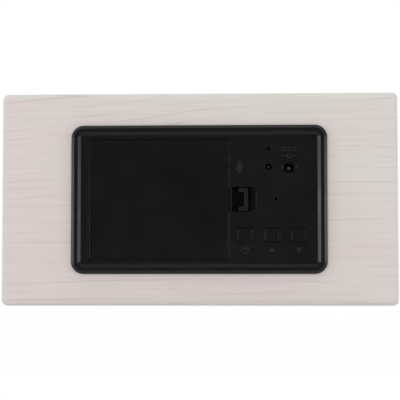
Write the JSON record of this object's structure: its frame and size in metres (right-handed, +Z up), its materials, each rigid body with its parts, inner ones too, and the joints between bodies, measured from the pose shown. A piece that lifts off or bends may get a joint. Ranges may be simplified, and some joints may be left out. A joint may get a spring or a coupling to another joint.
{
  "type": "digital alarm clock",
  "caption": "Block-shaped wooden desk clock whose digits shine through its front film, with a black rear panel that holds the battery door, buttons and power inlet.",
  "frame": {"origin": "middle of the base, on the surface it stands on, halfway between the front film and the rim of the rear panel", "axes": "+Z up, the display looks along -Y, the rear panel along +Y, +X to the right of someone who reads the display"},
  "size_m": [0.15, 0.042, 0.0805],
  "materials": {
    "wood_film": "satin printed wood-grain film",
    "front_film": "satin translucent wood-grain film",
    "fibreboard": "bare pressed fibre",
    "black_plastic": "fine satin moulding",
    "door_plastic": "fine satin moulding",
    "button_plastic": "fine satin moulding",
    "socket_plastic": "matt moulding",
    "stem_plastic": "smooth moulding",
    "chip_plastic": "matt epoxy",
    "board": "green solder mask",
    "tinned_metal": "nickel plate",
    "spring_steel": "nickel plate",
    "pin_metal": "polished nickel",
    "can_metal": "drawn can",
    "screw_steel": "zinc plate",
    "bead_epoxy": "dipped epoxy",
    "diffuser": "milky sheet",
    "led": "clear over phosphor",
    "ribbon": "flat grey cable",
    "cell_jacket": "plain wrapped cell"
  },
  "bodies": {
    "case": {"wood_case": "wood_film", "front_film": "front_film", "left_end_film": "wood_film", "right_end_film": "wood_film", "rear_panel": "black_plastic", "battery_tub": "black_plastic", "power_inlet": "socket_plastic", "power_inlet_pin": "pin_metal", "main_board": "board", "power_inlet_sleeve": "pin_metal", "sensor_bead": "bead_epoxy", "sensor_leads": "tinned_metal", "buzzer": "socket_plastic", "crystal": "can_metal", "capacitor": "can_metal", "main_socket": "socket_plastic", "display_socket": "socket_plastic", "ribbon_cable": "ribbon", "light_mask": "black_plastic", "diffuser_sheet": "diffuser", "display_board": "board", "segment_leds": "led", "board_screws": "screw_steel", "button_switches": "socket_plastic", "reset_switch": "socket_plastic", "clock_chip": "chip_plastic", "clock_chip_legs": "tinned_metal", "display_driver": "chip_plastic", "display_driver_legs": "tinned_metal", "mask_screws": "screw_steel", "display_screws": "screw_steel", "left_end_board": "fibreboard", "right_end_board": "fibreboard", "upper_bridge_contact": "tinned_metal", "lower_bridge_contact": "tinned_metal", "middle_bridge_contact": "tinned_metal", "positive_terminal": "tinned_metal", "negative_terminal": "tinned_metal", "battery_spring_1": "spring_steel", "battery_spring_2": "spring_steel", "battery_spring_3": "spring_steel", "battery_spring_4": "spring_steel"},
    "door": {"battery_door": "door_plastic"},
    "latch": {"door_latch": "door_plastic"},
    "left_button": {"left_button": "button_plastic", "left_switch_stem": "stem_plastic"},
    "middle_button": {"middle_button": "button_plastic", "middle_switch_stem": "stem_plastic"},
    "right_button": {"right_button": "button_plastic", "right_switch_stem": "stem_plastic"},
    "reset_stem": {"reset_switch_stem": "stem_plastic"},
    "cell_1": {"battery_cell_1": "cell_jacket"},
    "cell_2": {"battery_cell_2": "cell_jacket"},
    "cell_3": {"battery_cell_3": "cell_jacket"},
    "cell_4": {"battery_cell_4": "cell_jacket"}
  },
  "joints": [
    {"name": "door_hinge", "type": "hinge", "parent": "case", "child": "door", "pos_m": [0.04154, 0.0198, 0.03995], "axis": [0, 0, -1], "range_deg": [0, 70]},
    {"name": "latch_flex", "type": "slide", "parent": "door", "child": "latch", "axis": [1, 0, 0], "range_m": [-0.0008, 0.0006], "stiffness_N_per_m": 800, "springref_m": -0.0008},
    {"name": "left_button_press", "type": "slide", "parent": "case", "child": "left_button", "axis": [0, -1, 0], "range_m": [0, 0.0005], "stiffness_N_per_m": 400},
    {"name": "middle_button_press", "type": "slide", "parent": "case", "child": "middle_button", "axis": [0, -1, 0], "range_m": [0, 0.0005], "stiffness_N_per_m": 400},
    {"name": "right_button_press", "type": "slide", "parent": "case", "child": "right_button", "axis": [0, -1, 0], "range_m": [0, 0.0005], "stiffness_N_per_m": 400},
    {"name": "reset_press", "type": "slide", "parent": "case", "child": "reset_stem", "axis": [0, -1, 0], "range_m": [0, 0.00025], "stiffness_N_per_m": 400},
    {"name": "cell_1_shift", "type": "slide", "parent": "case", "child": "cell_1", "axis": [1, 0, 0], "range_m": [0, 0.002], "stiffness_N_per_m": 300, "springref_m": -0.003, "deforming": ["battery_spring_1"]},
    {"name": "cell_2_shift", "type": "slide", "parent": "case", "child": "cell_2", "axis": [-1, 0, 0], "range_m": [0, 0.002], "stiffness_N_per_m": 300, "springref_m": -0.003, "deforming": ["battery_spring_2"]},
    {"name": "cell_3_shift", "type": "slide", "parent": "case", "child": "cell_3", "axis": [1, 0, 0], "range_m": [0, 0.002], "stiffness_N_per_m": 300, "springref_m": -0.003, "deforming": ["battery_spring_3"]},
    {"name": "cell_4_shift", "type": "slide", "parent": "case", "child": "cell_4", "axis": [-1, 0, 0], "range_m": [0, 0.002], "stiffness_N_per_m": 300, "springref_m": -0.003, "deforming": ["battery_spring_4"]}
  ]
}
